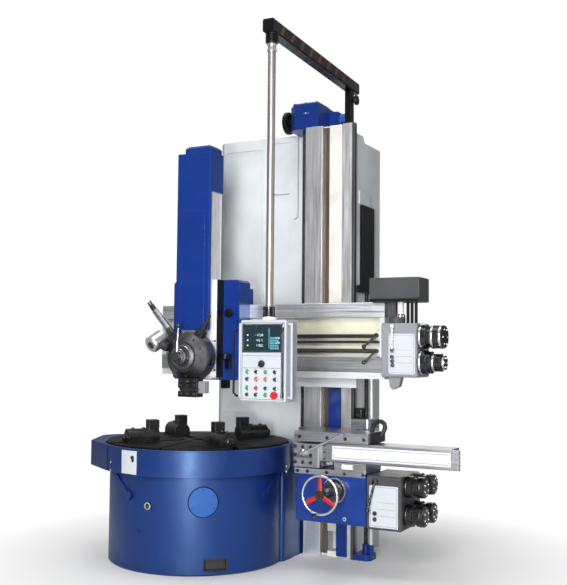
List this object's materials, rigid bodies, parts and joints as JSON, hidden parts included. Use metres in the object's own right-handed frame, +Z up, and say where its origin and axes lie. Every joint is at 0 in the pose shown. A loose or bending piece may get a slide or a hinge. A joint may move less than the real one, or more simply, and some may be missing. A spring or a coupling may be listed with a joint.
{
  "type": "vertical turret lathe",
  "caption": "Single-column vertical turret lathe in blue and white enamel, with a four-jaw table, cross rail, turret ram, side head and hanging pendant.",
  "frame": {"origin": "on the floor, on the table's turning axis", "axes": "+X to the side head, -Y to the operator in front, +Z up"},
  "size_m": [3.0851, 2.4608, 3.834],
  "materials": {
    "blue_enamel": "glossy",
    "white_casting": "semi-gloss",
    "grey_casting": "semi-gloss",
    "cream_paint": "semi-gloss",
    "ground_steel": "ground",
    "dark_steel": "satin",
    "black_oxide": "satin",
    "black_paint": "gloss",
    "pendant_paint": "satin",
    "tube_steel": "satin",
    "table_steel": "machined",
    "wheel_red": "gloss",
    "chrome_steel": "polished"
  },
  "bodies": {
    "frame": {"table_housing": "blue_enamel", "guard_ring": "blue_enamel", "housing_covers": "blue_enamel", "column": "white_casting", "column_ways": "ground_steel", "way_cover": "cream_paint", "side_slot_cover": "black_paint", "column_foot": "blue_enamel", "elevating_gearbox": "blue_enamel", "brake_wheel": "black_paint", "rail_lift_screw": "dark_steel", "side_feed_shafts": "ground_steel", "pendant_post": "black_paint"},
    "table": {"table_plate": "table_steel"},
    "jaw_1": {"jaw_1": "black_oxide"},
    "jaw_2": {"jaw_2": "black_oxide"},
    "jaw_3": {"jaw_3": "black_oxide"},
    "jaw_4": {"jaw_4": "black_oxide"},
    "rail": {"cross_rail": "cream_paint", "rail_ways": "ground_steel", "rail_shafts": "dark_steel", "rail_end_bracket": "grey_casting", "rail_feed_box": "grey_casting", "rail_levers": "chrome_steel", "rail_clutches": "dark_steel", "rail_terminal_box": "grey_casting", "rail_cables": "black_paint"},
    "saddle": {"saddle": "blue_enamel", "saddle_fittings": "black_paint"},
    "ram": {"ram": "ground_steel", "ram_cover": "blue_enamel"},
    "turret": {"turret": "dark_steel", "turret_tools": "dark_steel"},
    "side_head": {"side_saddle": "ground_steel", "side_apron": "blue_enamel", "side_feed_box": "grey_casting", "side_clutches": "black_paint", "side_controls": "dark_steel"},
    "side_ram": {"side_ram": "ground_steel", "tool_post": "ground_steel"},
    "handwheel": {"side_handwheel": "wheel_red"},
    "pendant_arm": {"pendant_arm": "black_paint"},
    "pendant": {"pendant_tube": "tube_steel", "pendant_box": "pendant_paint", "pendant_controls": "black_paint"}
  },
  "joints": [
    {"name": "table_spin", "type": "hinge", "parent": "frame", "child": "table", "pos_m": [0, 0, 0.9], "axis": [0, 0, 1], "continuous": true},
    {"name": "jaw_1_slide", "type": "slide", "parent": "table", "child": "jaw_1", "axis": [-0.5736, -0.8192, 0], "range_m": [-0.07, 0.2]},
    {"name": "jaw_2_slide", "type": "slide", "parent": "table", "child": "jaw_2", "axis": [0.8192, -0.5736, 0], "range_m": [-0.07, 0.2]},
    {"name": "jaw_3_slide", "type": "slide", "parent": "table", "child": "jaw_3", "axis": [0.5736, 0.8192, 0], "range_m": [-0.07, 0.2]},
    {"name": "jaw_4_slide", "type": "slide", "parent": "table", "child": "jaw_4", "axis": [-0.8192, 0.5736, 0], "range_m": [-0.07, 0.2]},
    {"name": "rail_lift", "type": "slide", "parent": "frame", "child": "rail", "axis": [0, 0, 1], "range_m": [-0.15, 0.85]},
    {"name": "saddle_traverse", "type": "slide", "parent": "rail", "child": "saddle", "axis": [1, 0, 0], "range_m": [-0.1, 0.75]},
    {"name": "ram_feed", "type": "slide", "parent": "saddle", "child": "ram", "axis": [0, 0, -1], "range_m": [0, 0.33]},
    {"name": "turret_index", "type": "hinge", "parent": "ram", "child": "turret", "pos_m": [0.02, -0.19, 1.575], "axis": [0, -1, 0], "continuous": true},
    {"name": "side_head_lift", "type": "slide", "parent": "frame", "child": "side_head", "axis": [0, 0, 1], "range_m": [-0.18, 0.23]},
    {"name": "side_ram_feed", "type": "slide", "parent": "side_head", "child": "side_ram", "axis": [-1, 0, 0], "range_m": [-0.08, 0.1]},
    {"name": "side_handwheel_turn", "type": "hinge", "parent": "side_head", "child": "handwheel", "pos_m": [1.206, -0.28, 0.606], "axis": [0, -1, 0], "range_deg": [-290, 362]},
    {"name": "pendant_arm_swing", "type": "hinge", "parent": "frame", "child": "pendant_arm", "pos_m": [1.075, 0.52, 3.8], "axis": [0, 0, 1], "range_deg": [-25, 90]},
    {"name": "pendant_swivel", "type": "hinge", "parent": "pendant_arm", "child": "pendant", "pos_m": [1.14476, -0.94834, 3.7], "axis": [0, 0, 1], "range_deg": [-90, 90]}
  ],
  "couplings": [
    {"joint": "side_handwheel_turn", "follows": "side_ram_feed", "rad_per_m": 62.832}
  ]
}
